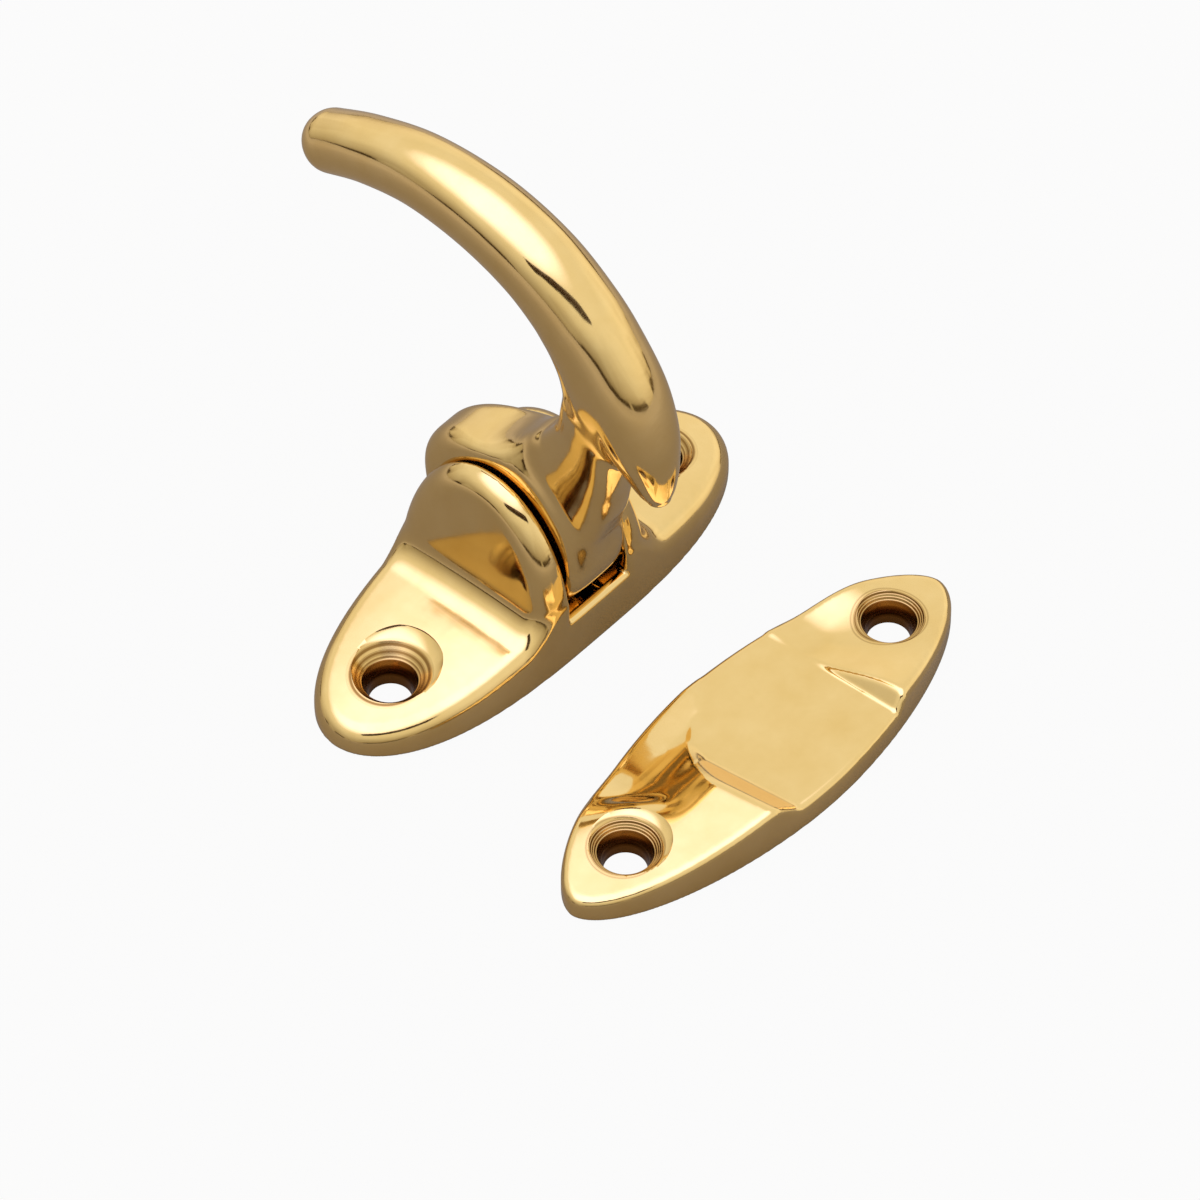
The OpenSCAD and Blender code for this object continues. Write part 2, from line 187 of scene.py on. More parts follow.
# Lever: hub with its nose and heel, stem, arm and tail. Places are from the pivot.
# A section is middle y and z, half depth, angle of the outer side, half width and squareness.
lever = {
    "hubHalf": 4.62, "hubRadius": 11.6, "hubEdge": 1.5,
    "noseAngle": 24, "noseReach": 13.2, "noseUpper": 56, "noseLower": 34,
    "noseEdge": 3.4, "noseEdgeShift": 8, "noseEdgeSpan": 50,
    "heelAngle": -24, "heelReach": 13.6, "heelSpan": 22,
    "armSections": [
        (-20.4, 16.1, 1.4, 178, 1.5, 2), (-20.1, 17.6, 2.1, 176, 2.4, 2), (-19.3, 20.4, 3.1, 173, 3.4, 2),
        (-17.9, 24, 4.1, 170, 4.4, 2), (-15.7, 28.6, 4.7, 163, 4.8, 2.1), (-12.7, 33, 4.9, 150, 4.9, 2.1),
        (-8.8, 37.3, 5, 137, 4.9, 2.1), (-2.9, 41.7, 4.8, 118, 4.8, 2.1), (5, 44.4, 4.6, 102, 4.6, 2.1),
        (14, 44.9, 4.3, 88, 4.2, 2.1), (22, 43.1, 3.9, 75, 3.9, 2.1), (27.8, 40.7, 3.7, 66, 3.7, 2.1)],
    "stemSections": [
        (-5.6, 2.3, 6.4, 184, 4.1, 4), (-6.3, 6.4, 6.7, 184, 4, 4), (-7.6, 10.6, 6.5, 184, 3.8, 3.6),
        (-9.7, 14.8, 5.3, 183, 3.6, 3.4), (-11.3, 19.3, 4.7, 180, 3.6, 3), (-12, 24.3, 4.6, 175, 3.8, 2.6),
        (-11.8, 28.2, 4.3, 165, 3.7, 2.3), (-11.1, 31.3, 3.9, 150, 3.3, 2.1), (-9.2, 35.2, 2.6, 138, 2.4, 2)],
    "armSteps": 16, "stemSteps": 14,
    "beakFillet": 1.2, "webFillet": 3.2, "beakToWeb": (-17, -10),
    "stemFillet": 2.0, "innerFillet": 4.4, "stemToInner": (-9, -2),
    "sideHeight": 12, "sideSpread": 0.2,
    "tipPlace": (27.8, 40.8), "tipRadius": 3.85, "hubRings": ((4.4, 1.2), (3.9, 0.3), (3.2, 0)),
    "hubTurn": 4, "limbTurn": 10, "limbEvery": 3,
    "boreRadius": 2.55, "boreHalf": 9, "recessRadius": 5.4, "recessStart": 0.3, "recessEnd": 6,
    "legHoleDepth": (-1.7, 1), "voxels": (0.4, 0.27), "evenRounds": 8, "pointBatch": 20000, "core": 1e-3,
}


def smoothLine(sections, steps):  # a smooth curve through the sections
    s = np.array(sections, float)
    p = np.vstack([s[0], s, s[-1]])
    rows = []
    for i in range(len(s) - 1):
        a, b, c, d = p[i], p[i + 1], p[i + 2], p[i + 3]
        for t in np.arange(steps) / steps:
            rows.append(0.5 * (2 * b + (c - a) * t + (2 * a - 5 * b + 4 * c - d) * t * t
                               + (3 * b - a - 3 * c + d) * t ** 3))
    return np.array(rows + [s[-1]])


armLine = smoothLine(lever["armSections"], lever["armSteps"])
stemLine = smoothLine(lever["stemSections"], lever["stemSteps"])


def limbField(x, y, z, line):  # distance from a limb that follows a line of sections
    c = line[:, :2]
    tangent = np.gradient(c, axis=0)
    out = np.empty(len(x))
    for start in range(0, len(x), lever["pointBatch"]):
        part = slice(start, start + lever["pointBatch"])
        q = np.stack([y[part], z[part]], axis=1)
        near = ((q[:, None, :] - c[None]) ** 2).sum(2).argmin(1)
        step = ((q - c[near]) * tangent[near]).sum(1) / (tangent[near] ** 2).sum(1)
        at = np.clip(near + np.clip(step, -1, 1), 0, len(line) - 1)
        low = np.minimum(at.astype(int), len(line) - 2)
        mix = (at - low)[:, None]
        s = line[low] * (1 - mix) + line[low + 1] * mix
        angle = np.radians(s[:, 3])
        off = q - s[:, :2]
        u = off[:, 0] * np.cos(angle) + off[:, 1] * np.sin(angle)
        past = np.where((at <= 0) | (at >= len(line) - 1),
                        np.abs(off[:, 1] * np.cos(angle) - off[:, 0] * np.sin(angle)), 0)
        v, n = x[part], s[:, 5]
        k = ((np.abs(u) / s[:, 2]) ** n + (np.abs(v) / s[:, 4]) ** n + (past / s[:, 2]) ** n) ** (1 / n)
        reach = np.sqrt(u * u + v * v + past * past)
        core = lever["core"]  # so near the middle line, the distance is the half depth
        out[part] = np.where(k > core, reach - reach / np.maximum(k, core), -s[:, 2])
    return out


def hubRadius(angle):  # radius of the hub at an angle from +Y, with its nose and heel
    def lobe(turn, span, reach):
        return (reach - lever["hubRadius"]) * np.maximum(1 - (turn / span) ** 2, 0) ** 3
    turn = angle - lever["noseAngle"]
    nose = lobe(turn, np.where(turn < 0, lever["noseLower"], lever["noseUpper"]), lever["noseReach"])
    heel = lobe(angle - lever["heelAngle"], lever["heelSpan"], lever["heelReach"])
    return lever["hubRadius"] + np.maximum(nose, heel)


def blendOver(y, first, second, span):  # from one of the lever's values to another, over a span of y
    return lever[first] + (lever[second] - lever[first]) * easeOver(y, lever[span])


def leverField(x, y, z):
    z = z - hinge["height"]
    angle = np.degrees(np.arctan2(z, y))
    away = np.abs(angle - lever["noseAngle"] - lever["noseEdgeShift"])
    edge = lever["hubEdge"] + (lever["noseEdge"] - lever["hubEdge"]) * ease(1 - away / lever["noseEdgeSpan"])
    hub = roundMeet(np.hypot(y, z) - hubRadius(angle), np.abs(x) - lever["hubHalf"], edge)
    fillet = blendOver(y, "beakFillet", "webFillet", "beakToWeb")
    limb = roundJoin(limbField(x, y, z, armLine), limbField(x, y, z, stemLine), fillet)
    body = roundJoin(hub, limb, blendOver(y, "stemFillet", "innerFillet", "stemToInner"))
    spread = lever["sideSpread"] * np.maximum(z - lever["sideHeight"], 0)
    return np.maximum(body, np.abs(x) - lever["hubHalf"] - spread)


# Mesh helpers

def newObject(name, bm):
    mesh = bpy.data.meshes.new(name)
    bm.to_mesh(mesh)
    bm.free()
    obj = bpy.data.objects.new(name, mesh)
    bpy.context.scene.collection.objects.link(obj)
    return obj


def applyModifiers(obj):
    graph = bpy.context.evaluated_depsgraph_get()
    mesh = bpy.data.meshes.new_from_object(obj.evaluated_get(graph))
    obj.modifiers.clear()
    old = obj.data
    obj.data = mesh
    bpy.data.meshes.remove(old)


def voxelSkin(obj, size):
    mod = obj.modifiers.new("skin", "REMESH")
    mod.mode = "VOXEL"
    mod.voxel_size = size
    applyModifiers(obj)


settling = {"rounds": 5, "probe": 0.01, "slopeFloor": 0.2, "maxMove": 0.3}


def settle(obj, field):  # moves every vertex onto the surface where the field is zero
    co = np.empty(len(obj.data.vertices) * 3, np.float32)
    obj.data.vertices.foreach_get("co", co)
    p = co.reshape(-1, 3).astype(float)
    h = settling["probe"]
    for _ in range(settling["rounds"]):
        f = field(p[:, 0], p[:, 1], p[:, 2])
        g = np.stack([field(p[:, 0] + h * (a == 0), p[:, 1] + h * (a == 1), p[:, 2] + h * (a == 2)) - f
                      for a in range(3)], axis=1) / h
        move = -f[:, None] * g / np.maximum((g ** 2).sum(1), settling["slopeFloor"])[:, None]
        size = np.linalg.norm(move, axis=1, keepdims=True)
        p += move * np.minimum(1, settling["maxMove"] / np.maximum(size, tiny))
    obj.data.vertices.foreach_set("co", p.astype(np.float32).ravel())
    obj.data.update()


def evenOut(obj, rounds):  # takes the ripple of the voxels off
    mod = obj.modifiers.new("even", "SMOOTH")
    mod.factor = 0.5
    mod.iterations = rounds
    applyModifiers(obj)


def castSkin(obj, field, values):  # fine, smooth skin over a rough body
    for size in values["voxels"]:
        voxelSkin(obj, size)
        settle(obj, field)
    evenOut(obj, values["evenRounds"])


# Rough plate: a grid that is denser towards the ends. Its heights are looked for from above.
plate = {
    "across": 80, "along": 160, "endDensity": 1.5, "lengthShare": 0.9995, "widthShare": 0.995,
    "highest": 30, "lowest": 0.4, "tries": 60, "leastHeight": 0.6,
}


def plateFrom(name, boat, field, middle=(0, 0)):  # closed plate whose top follows the field
    bm = bmesh.new()
    bmesh.ops.create_grid(bm, x_segments=plate["along"], y_segments=plate["across"], size=1)
    co = np.array([v.co for v in bm.verts])
    u = co[:, 0]
    x = boat["halfLength"] * plate["lengthShare"] * np.sign(u) * (1 - (1 - np.abs(u)) ** plate["endDensity"])
    y = boatWidth(x, boat) * plate["widthShare"] * np.sin(co[:, 1] * math.pi / 2)
    x, y = x + middle[0], y + middle[1]
    top = np.zeros(len(x))
    for z in np.linspace(plate["highest"], plate["lowest"], plate["tries"]):
        firstInside = (field(x, y, np.full(len(x), z)) < 0) & (top == 0)
        top[firstInside] = z
    top = np.maximum(top, plate["leastHeight"])
    for v, a, b, c in zip(bm.verts, x, y, top):
        v.co = (a, b, c)
    rim = [e for e in bm.edges if e.is_boundary]
    wall = bmesh.ops.extrude_edge_only(bm, edges=rim)["geom"]
    for v in wall:
        if isinstance(v, bmesh.types.BMVert):
            v.co.z = 0
    bmesh.ops.edgeloop_fill(bm, edges=[e for e in bm.edges if e.is_boundary])
    bmesh.ops.recalc_face_normals(bm, faces=bm.faces)
    return newObject(name, bm)


def ringLoft(bm, rings):  # closed skin over a row of rings, each a list of points
    loops = []
    for ring in rings:
        made = bmesh.ops.create_circle(bm, cap_ends=False, radius=1, segments=len(ring))["verts"]
        for v, p in zip(made, ring):
            v.co = p
        loops.append(list({e for v in made for e in v.link_edges}))
    for a, b in zip(loops, loops[1:]):
        bmesh.ops.bridge_loops(bm, edges=a + b)
    for loop in (loops[0], loops[-1]):
        bmesh.ops.edgeloop_fill(bm, edges=loop)


def cutWith(obj, cutters):
    for cutter in cutters:
        mod = obj.modifiers.new("cut", "BOOLEAN")
        mod.operation = "DIFFERENCE"
        mod.solver = "EXACT"
        mod.object = cutter
    applyModifiers(obj)
    for cutter in cutters:
        bpy.data.objects.remove(cutter)


def spunCutter(profile, place, along="Z", steps=128):  # solid of revolution from (radius, height) pairs
    bm = bmesh.new()
    verts = [bm.verts.new((r, 0, h)) for r, h in profile]
    edges = [bm.edges.new(pair) for pair in zip(verts, verts[1:])]
    bmesh.ops.spin(bm, geom=verts + edges, cent=(0, 0, 0), axis=(0, 0, 1), angle=math.tau,
                   steps=steps, use_merge=True)
    bmesh.ops.remove_doubles(bm, verts=bm.verts, dist=1e-4)
    bmesh.ops.recalc_face_normals(bm, faces=bm.faces)
    if along == "X":
        bmesh.ops.rotate(bm, verts=bm.verts, cent=(0, 0, 0), matrix=Matrix.Rotation(math.pi / 2, 3, "Y"))
    bmesh.ops.translate(bm, verts=bm.verts, vec=place)
    return newObject("cutter", bm)


def pinCutter(radius, start, end):  # round hole along the pin
    return spunCutter([(0, start), (radius, start), (radius, end), (0, end)], (0, 0, hinge["height"]), "X")


def legCutter(depth):  # small hole for a leg of the spring
    start, end = depth
    r = hinge["legHole"]
    place = (0, 0, hinge["height"] + hinge["legHeight"])
    return spunCutter([(0, start), (r, start), (r, end), (0, end)], place, "X", hinge["legSides"])


# Screw hole. Pairs are steps out and up along its profile: the neck's from the hole's wall and the cone's
# foot, the throat's from its own wall and the cone's foot, and the rim's from the cone's top.
screw = {
    "holeRadius": 2.5, "throatRadius": 3.25, "below": 2, "above": 4,
    "neck": ((0, -1.9), (0.08, -1.5)), "throatEdge": (-0.12, -0.2),
    "rim": ((0.05, -0.02), (0.5, 0.2), (1.3, 1.0)), "coneShort": 0.25,
    "turningMarks": 8, "markDepth": 0.045,
}


def screwCutter(x, y, pad, sink):  # hole, turned countersink and a softened rim
    hole, throat = screw["holeRadius"], screw["throatRadius"]
    foot = pad - (sink - throat)
    profile = [(0, -screw["below"]), (hole, -screw["below"])]
    profile += [(hole + out, foot + up) for out, up in screw["neck"]]
    profile.append((throat + screw["throatEdge"][0], foot + screw["throatEdge"][1]))
    cone = sink - throat - screw["coneShort"]
    marks = screw["turningMarks"]
    for i in range(marks + 1):
        t = i / marks
        profile.append((throat + cone * t, foot + cone * t + screw["markDepth"] * (-1) ** i))
    profile += [(sink + out, pad + up) for out, up in screw["rim"]]
    widest = sink + screw["rim"][-1][0]
    profile += [(widest, pad + screw["above"]), (0, pad + screw["above"])]
    return spunCutter(profile, (x, y, 0))


finishing = {"mergeGap": 2e-7, "flatEdge": 1e-7, "holeSides": 8, "sharpAngle": 35}


def finishPiece(obj):
    obj.data.name = obj.name
    obj.data.transform(Matrix.Scale(metre, 4))
    bm = bmesh.new()
    bm.from_mesh(obj.data)
    bmesh.ops.remove_doubles(bm, verts=bm.verts, dist=finishing["mergeGap"])
    bmesh.ops.dissolve_degenerate(bm, edges=bm.edges, dist=finishing["flatEdge"])
    bmesh.ops.holes_fill(bm, edges=[e for e in bm.edges if e.is_boundary], sides=finishing["holeSides"])
    bmesh.ops.triangulate(bm, faces=[f for f in bm.faces if len(f.verts) > 4])
    openEdges = sum(not e.is_manifold for e in bm.edges)
    for f in bm.faces:
        f.smooth = True
    for e in bm.edges:
        e.smooth = not (e.is_manifold and e.calc_face_angle(0) > math.radians(finishing["sharpAngle"]))
    bm.to_mesh(obj.data)
    triangles = sum(len(f.verts) - 2 for f in bm.faces)
    bm.free()
    print(obj.name, "triangles", triangles, "open edges", openEdges)


# Castings

def buildBase():
    obj = plateFrom("baseCast", base, baseField)
    castSkin(obj, baseField, base)
    half = base["holeSpacing"] / 2
    cutters = [screwCutter(s * half, 0, base["padHeight"], base["sinkRadius"]) for s in (-1, 1)]
    cutters.append(pinCutter(hinge["pinRadius"], hinge["pinStart"], hinge["pinEnd"]))
    cutters.append(legCutter(base["legHoleDepth"]))
    cutWith(obj, cutters)
    finishPiece(obj)
    return obj


def buildKeeper():
    x, y = keeper["middleX"], keeper["middleY"]
    obj = plateFrom("keeperCast", keeper, keeperField, (x, y))
    castSkin(obj, keeperField, keeper)
    half = keeper["holeSpacing"] / 2
    cutWith(obj, [screwCutter(x + s * half, y, keeper["padHeight"], keeper["sinkRadius"]) for s in (-1, 1)])
    finishPiece(obj)
    return obj


def roughHub(bm):
    left = [(-x, inset) for x, inset in lever["hubRings"]]
    right = [(x, inset) for x, inset in reversed(lever["hubRings"])]
    turns = np.radians(np.arange(0, 360, lever["hubTurn"]))
    radii = hubRadius((np.degrees(turns) + 180) % 360 - 180)
    rings = []
    for x, inset in left + right:
        rings.append([(x, r * math.cos(t), hinge["height"] + r * math.sin(t))
                      for r, t in zip(radii - inset, turns)])
    ringLoft(bm, rings)


def roughLimb(bm, line):
    def flattened(value, power):
        return np.sign(value) * abs(value) ** (2 / power)

    rings = []
    for y, z, depth, angle, width, power in line[::lever["limbEvery"]]:
        ring = []
        outer = math.radians(angle)
        for t in np.radians(np.arange(0, 360, lever["limbTurn"])):
            d = depth * flattened(math.cos(t), power)
            w = width * flattened(math.sin(t), power)
            ring.append((w, y + d * math.cos(outer), hinge["height"] + z + d * math.sin(outer)))
        rings.append(ring)
    ringLoft(bm, rings)


def buildLever():
    bm = bmesh.new()
    roughHub(bm)
    roughLimb(bm, armLine)
    roughLimb(bm, stemLine)
    tip = bmesh.ops.create_uvsphere(bm, u_segments=24, v_segments=16, radius=lever["tipRadius"])["verts"]
    tipY, tipZ = lever["tipPlace"]
    bmesh.ops.translate(bm, verts=tip, vec=(0, tipY, hinge["height"] + tipZ))
    bmesh.ops.recalc_face_normals(bm, faces=bm.faces)
    obj = newObject("leverCast", bm)
    castSkin(obj, leverField, lever)
    bore = pinCutter(lever["boreRadius"], -lever["boreHalf"], lever["boreHalf"])
    recess = pinCutter(lever["recessRadius"], lever["recessStart"], lever["recessEnd"])
    cutWith(obj, [bore, recess, legCutter(lever["legHoleDepth"])])
    finishPiece(obj)
    return obj


baseCast = buildBase()
print("base casting")
keeperCast = buildKeeper()
print("keeper plate")
leverCast = buildLever()
print("lever")

# Torsion spring: one wire, with a leg in the hub, three turns and a leg in the far ear.
spring = {
    "wire": 0.9, "radius": hinge["legHeight"], "turns": 3, "pitch": 0.95, "coilStart": 1.1,
    "hubEnd": -1.35, "earEnd": 6.95, "bend": 0.5, "bevel": 0.1, "sides": 16, "turnSteps": 64, "bendSteps": 6,
}
coilEnd = spring["coilStart"] + spring["turns"] * spring["pitch"]


def springPath():  # (x, angle round the pin) along the middle of the wire
    start, bend, radius = spring["coilStart"], spring["bend"], spring["radius"]
    full = spring["turns"] * math.tau
    quarter = [math.pi / 2 * i / spring["bendSteps"] for i in range(spring["bendSteps"])]
    first = [(start - bend * (1 - math.sin(t)), bend * (1 - math.cos(t)) / radius) for t in quarter]
    last = [(coilEnd + bend * (1 - math.sin(t)), full - bend * (1 - math.cos(t)) / radius)
            for t in reversed(quarter)]
    a0, a1 = bend / radius, full - bend / radius
    steps = spring["turns"] * spring["turnSteps"]
    turns = [a0 + (a1 - a0) * i / steps for i in range(steps + 1)]
    coil = [(start + spring["pitch"] * a / math.tau, a) for a in turns]
    return [(spring["hubEnd"], 0)] + first + coil + last + [(spring["earEnd"], full)]


def springRings():  # rings of the wire, with a smaller one at each end as its bevel
    path = springPath()
    spots = [Vector((x, -spring["radius"] * math.sin(a), hinge["height"] + spring["radius"] * math.cos(a)))
             for x, a in path]
    around = [math.tau * k / spring["sides"] for k in range(spring["sides"])]
    end = len(path) - 1
    rings = []
    for i, (spot, (_, a)) in enumerate(zip(spots, path)):
        along = (spots[min(i + 1, end)] - spots[max(i - 1, 0)]).normalized()
        outward = Vector((0, -math.sin(a), math.cos(a)))
        across = along.cross(outward).normalized()
        shape = [outward * math.cos(t) + across * math.sin(t) for t in around]
        ring = [spot + d * spring["wire"] / 2 for d in shape]
        inner = [spot + d * (spring["wire"] / 2 - spring["bevel"]) for d in shape]
        if i == 0:
            rings += [inner, [p + along * spring["bevel"] for p in ring]]
        elif i == end:
            rings += [[p - along * spring["bevel"] for p in ring], inner]
        else:
            rings.append(ring)
    return rings


bm = bmesh.new()
ringLoft(bm, springRings())
bmesh.ops.recalc_face_normals(bm, faces=bm.faces)
springWire = newObject("springWire", bm)
finishPiece(springWire)
print("spring")

# Node helpers. A socket takes either a value or a link from another socket.

def put(tree, socket, value):
    if isinstance(value, bpy.types.NodeSocket):
        tree.links.new(value, socket)
    else:
        socket.default_value = value


def mathNode(tree, operation, *values):
    node = tree.nodes.new("ShaderNodeMath")
    node.operation = operation
    for socket, value in zip(node.inputs, values):
        put(tree, socket, value)
    return node.outputs[0]


def vectorNode(tree, operation, *values):
    node = tree.nodes.new("ShaderNodeVectorMath")
    node.operation = operation
    for socket, value in zip(node.inputs, values):
        put(tree, socket, value)
    return node


def rangeNode(tree, value, fromMin, fromMax, toMin=0.0, toMax=1.0, curve="LINEAR"):
    node = tree.nodes.new("ShaderNodeMapRange")
    node.interpolation_type = curve
    for name, v in (("Value", value), ("From Min", fromMin), ("From Max", fromMax),
                    ("To Min", toMin), ("To Max", toMax)):
        put(tree, node.inputs[name], v)
    return node.outputs["Result"]


def rampNode(tree, value, tones):  # tones are pairs of place and colour
    node = tree.nodes.new("ShaderNodeValToRGB")
    elements = node.color_ramp.elements
    while len(elements) < len(tones):
        elements.new(0.5)
    for element, (at, tone) in zip(elements, tones):
        element.position = at
        element.color = tone
    put(tree, node.inputs["Fac"], value)
    return node.outputs["Color"]


def mixColor(tree, factor, a, b, blend="MIX"):
    node = tree.nodes.new("ShaderNodeMix")
    node.data_type = "RGBA"
    node.blend_type = blend
    for name, v in (("Factor", factor), ("A", a), ("B", b)):
        put(tree, node.inputs[name], v)
    return node.outputs["Result"]


def newGroup(name, ins, outs):
    tree = bpy.data.node_groups.new(name, "ShaderNodeTree")
    for socket in ins:
        tree.interface.new_socket(name=socket, in_out="INPUT", socket_type="NodeSocketFloat")
    for socket in outs:
        tree.interface.new_socket(name=socket, in_out="OUTPUT", socket_type="NodeSocketFloat")
    return tree, tree.nodes.new("NodeGroupInput").outputs, tree.nodes.new("NodeGroupOutput").inputs


# Polish: a slow unevenness, fine rub marks in two directions and a dull film in patches.
# The stretch of the rub marks is a scale along each axis, and their turn is in radians.
polish = {
    "swellScale": 110, "rippleScale": 340, "rippleShare": 0.14, "filmScale": 160,
    "rubScales": (900, 700), "rubStretch": ((1, 0.08, 0.3), (0.1, 1, 0.4)),
    "rubTurn": ((0.4, 0.2, 0.9), (0.1, 0.7, -0.5)),
    "rubRough": 0.5, "filmRough": 0.35, "rubHeight": 0.02,
}


def buildPolishMarks():
    tree, ins, outs = newGroup("polishMarks", ("Wave", "Rub"), ("Tint", "Roughness", "Height"))
    place = tree.nodes.new("ShaderNodeTexCoord").outputs["Object"]

    def noise(vector, scale, detail, rough=0.5):
        node = tree.nodes.new("ShaderNodeTexNoise")
        for name, v in (("Vector", vector), ("Scale", scale), ("Detail", detail), ("Roughness", rough)):
            put(tree, node.inputs[name], v)
        return node.outputs["Fac"]

    def rub(scale, stretch, turn):
        node = tree.nodes.new("ShaderNodeMapping")
        for name, v in (("Vector", place), ("Scale", stretch), ("Rotation", turn)):
            put(tree, node.inputs[name], v)
        return noise(node.outputs["Vector"], scale, 3, 0.6)

    ripple = mathNode(tree, "MULTIPLY", noise(place, polish["rippleScale"], 1), polish["rippleShare"])
    swell = mathNode(tree, "ADD", noise(place, polish["swellScale"], 1), ripple)
    wave = mathNode(tree, "MULTIPLY", swell, ins["Wave"])
    rubs = [rub(*values) for values in zip(polish["rubScales"], polish["rubStretch"], polish["rubTurn"])]
    marks = mathNode(tree, "MULTIPLY", mathNode(tree, "ADD", *rubs), ins["Rub"])
    film = noise(place, polish["filmScale"], 4, 0.6)
    rubDull = mathNode(tree, "MULTIPLY", marks, polish["rubRough"])
    filmDull = mathNode(tree, "MULTIPLY", film, polish["filmRough"])
    rubDepth = mathNode(tree, "MULTIPLY", marks, polish["rubHeight"])
    put(tree, outs["Tint"], film)
    put(tree, outs["Roughness"], mathNode(tree, "ADD", rubDull, filmDull))
    put(tree, outs["Height"], mathNode(tree, "ADD", wave, rubDepth))
    return tree


# Countersinks: rings from turning, painted into the colour as light and dark bands of reflection, and painted
# shade that darkens the throat.
turned = {"ringScale": 3200, "edgeShare": 0.93, "throatShadeOuter": 3.6, "throatShadeInner": 2.6}


def buildTurnedSeat():  # masks for the two countersinks of a plate
    tree, ins, outs = newGroup("turnedSeat", ("Middle X", "Middle Y", "Half Spacing", "Radius"),
                               ("Seat", "Throat Shade", "Ring"))
    place = tree.nodes.new("ShaderNodeTexCoord").outputs["Object"]
    split = tree.nodes.new("ShaderNodeSeparateXYZ")
    put(tree, split.inputs[0], place)
    along = mathNode(tree, "ABSOLUTE", mathNode(tree, "SUBTRACT", split.outputs["X"], ins["Middle X"]))
    a = mathNode(tree, "SUBTRACT", along, ins["Half Spacing"])
    b = mathNode(tree, "SUBTRACT", split.outputs["Y"], ins["Middle Y"])
    squares = [mathNode(tree, "MULTIPLY", v, v) for v in (a, b)]
    radius = mathNode(tree, "SQRT", mathNode(tree, "ADD", *squares))
    # Ring noise for the painted light and dark bands of reflection on the turned cone.
    rings = tree.nodes.new("ShaderNodeTexNoise")
    rings.noise_dimensions = "1D"
    for name, v in (("W", radius), ("Scale", turned["ringScale"]), ("Detail", 2)):
        put(tree, rings.inputs[name], v)
    full = mathNode(tree, "MULTIPLY", ins["Radius"], turned["edgeShare"])
    put(tree, outs["Seat"], rangeNode(tree, radius, ins["Radius"], full))
    # Painted shade: the throat mask darkens the colour between these radii, towards the hole.
    throat = rangeNode(tree, radius, turned["throatShadeOuter"] * metre, turned["throatShadeInner"] * metre)
    put(tree, outs["Throat Shade"], throat)
    put(tree, outs["Ring"], rings.outputs["Fac"])
    return tree


polishMarks = buildPolishMarks()
turnedSeat = buildTurnedSeat()

# Metals. Bump depth is in metres.
brassLook = {
    "bright": (0.88, 0.64, 0.27, 1), "brightAt": 0.3, "warm": (0.82, 0.57, 0.21, 1), "warmAt": 0.75,
    "roughFrom": 0.4, "roughTo": 0.9, "roughLow": 0.04, "roughHigh": 0.13,
    "wave": 1.0, "rub": 1.0, "bump": 0.75, "bumpDepth": 0.0001,
    # rings are painted reflection: dark and near-white bands multiplied into the countersinks.
    "rings": ((0.4, (0.36, 0.27, 0.17, 1)), (0.6, (0.9, 0.86, 0.8, 1))),
    # throat is the painted shade multiplied into each countersink's throat.
    "throat": (0.45, 0.3, 0.18, 1), "seatRough": 0.12,
}
pinLook = dict(brassLook, roughLow=0.15, roughHigh=0.35, wave=0.2, rub=1.6)
steelLook = dict(brassLook, bright=(0.55, 0.56, 0.58, 1), warm=(0.38, 0.38, 0.4, 1),
                 roughLow=0.2, roughHigh=0.4, wave=0.2, rub=1.4)


def metalMaterial(name, look, seat=None):  # seat is the middle, half spacing and radius of two countersinks
    mat = bpy.data.materials.new(name)
    mat.use_nodes = True
    tree = mat.node_tree
    shader = tree.nodes["Principled BSDF"]
    shader.inputs["Metallic"].default_value = 1
    marks = tree.nodes.new("ShaderNodeGroup")
    marks.node_tree = polishMarks
    marks.inputs["Wave"].default_value = look["wave"]
    marks.inputs["Rub"].default_value = look["rub"]
    tones = ((look["brightAt"], look["bright"]), (look["warmAt"], look["warm"]))
    color = rampNode(tree, marks.outputs["Tint"], tones)
    roughness = rangeNode(tree, marks.outputs["Roughness"], look["roughFrom"], look["roughTo"],
                          look["roughLow"], look["roughHigh"])
    if seat:
        masks = tree.nodes.new("ShaderNodeGroup")
        masks.node_tree = turnedSeat
        for socket, value in zip(masks.inputs, seat):
            socket.default_value = value * metre
        # Painted reflection: light and dark turned bands over each countersink.
        rings = rampNode(tree, masks.outputs["Ring"], look["rings"])
        color = mixColor(tree, masks.outputs["Seat"], color, rings, "MULTIPLY")
        # Painted shade in the throat.
        color = mixColor(tree, masks.outputs["Throat Shade"], color, look["throat"], "MULTIPLY")
        roughness = mathNode(tree, "MULTIPLY_ADD", masks.outputs["Seat"], look["seatRough"], roughness)
    bump = tree.nodes.new("ShaderNodeBump")
    bump.inputs["Strength"].default_value = look["bump"]
    bump.inputs["Distance"].default_value = look["bumpDepth"]
    put(tree, bump.inputs["Height"], marks.outputs["Height"])
    put(tree, shader.inputs["Base Color"], color)
    put(tree, shader.inputs["Roughness"], roughness)
    put(tree, shader.inputs["Normal"], bump.outputs["Normal"])
    return mat


seatMargin = 0.1  # how far the turned look reaches past a countersink


def seatOf(plateValues, x=0, y=0):
    return x, y, plateValues["holeSpacing"] / 2, plateValues["sinkRadius"] + seatMargin


baseSeat = seatOf(base)
keeperSeat = seatOf(keeper, keeper["middleX"], keeper["middleY"])
castBrass = metalMaterial("castBrass", brassLook)
baseBrass = metalMaterial("baseBrass", brassLook, baseSeat)
keeperBrass = metalMaterial("keeperBrass", brassLook, keeperSeat)
pinBrass = metalMaterial("pinBrass", pinLook)
springSteel = metalMaterial("springSteel", steelLook)

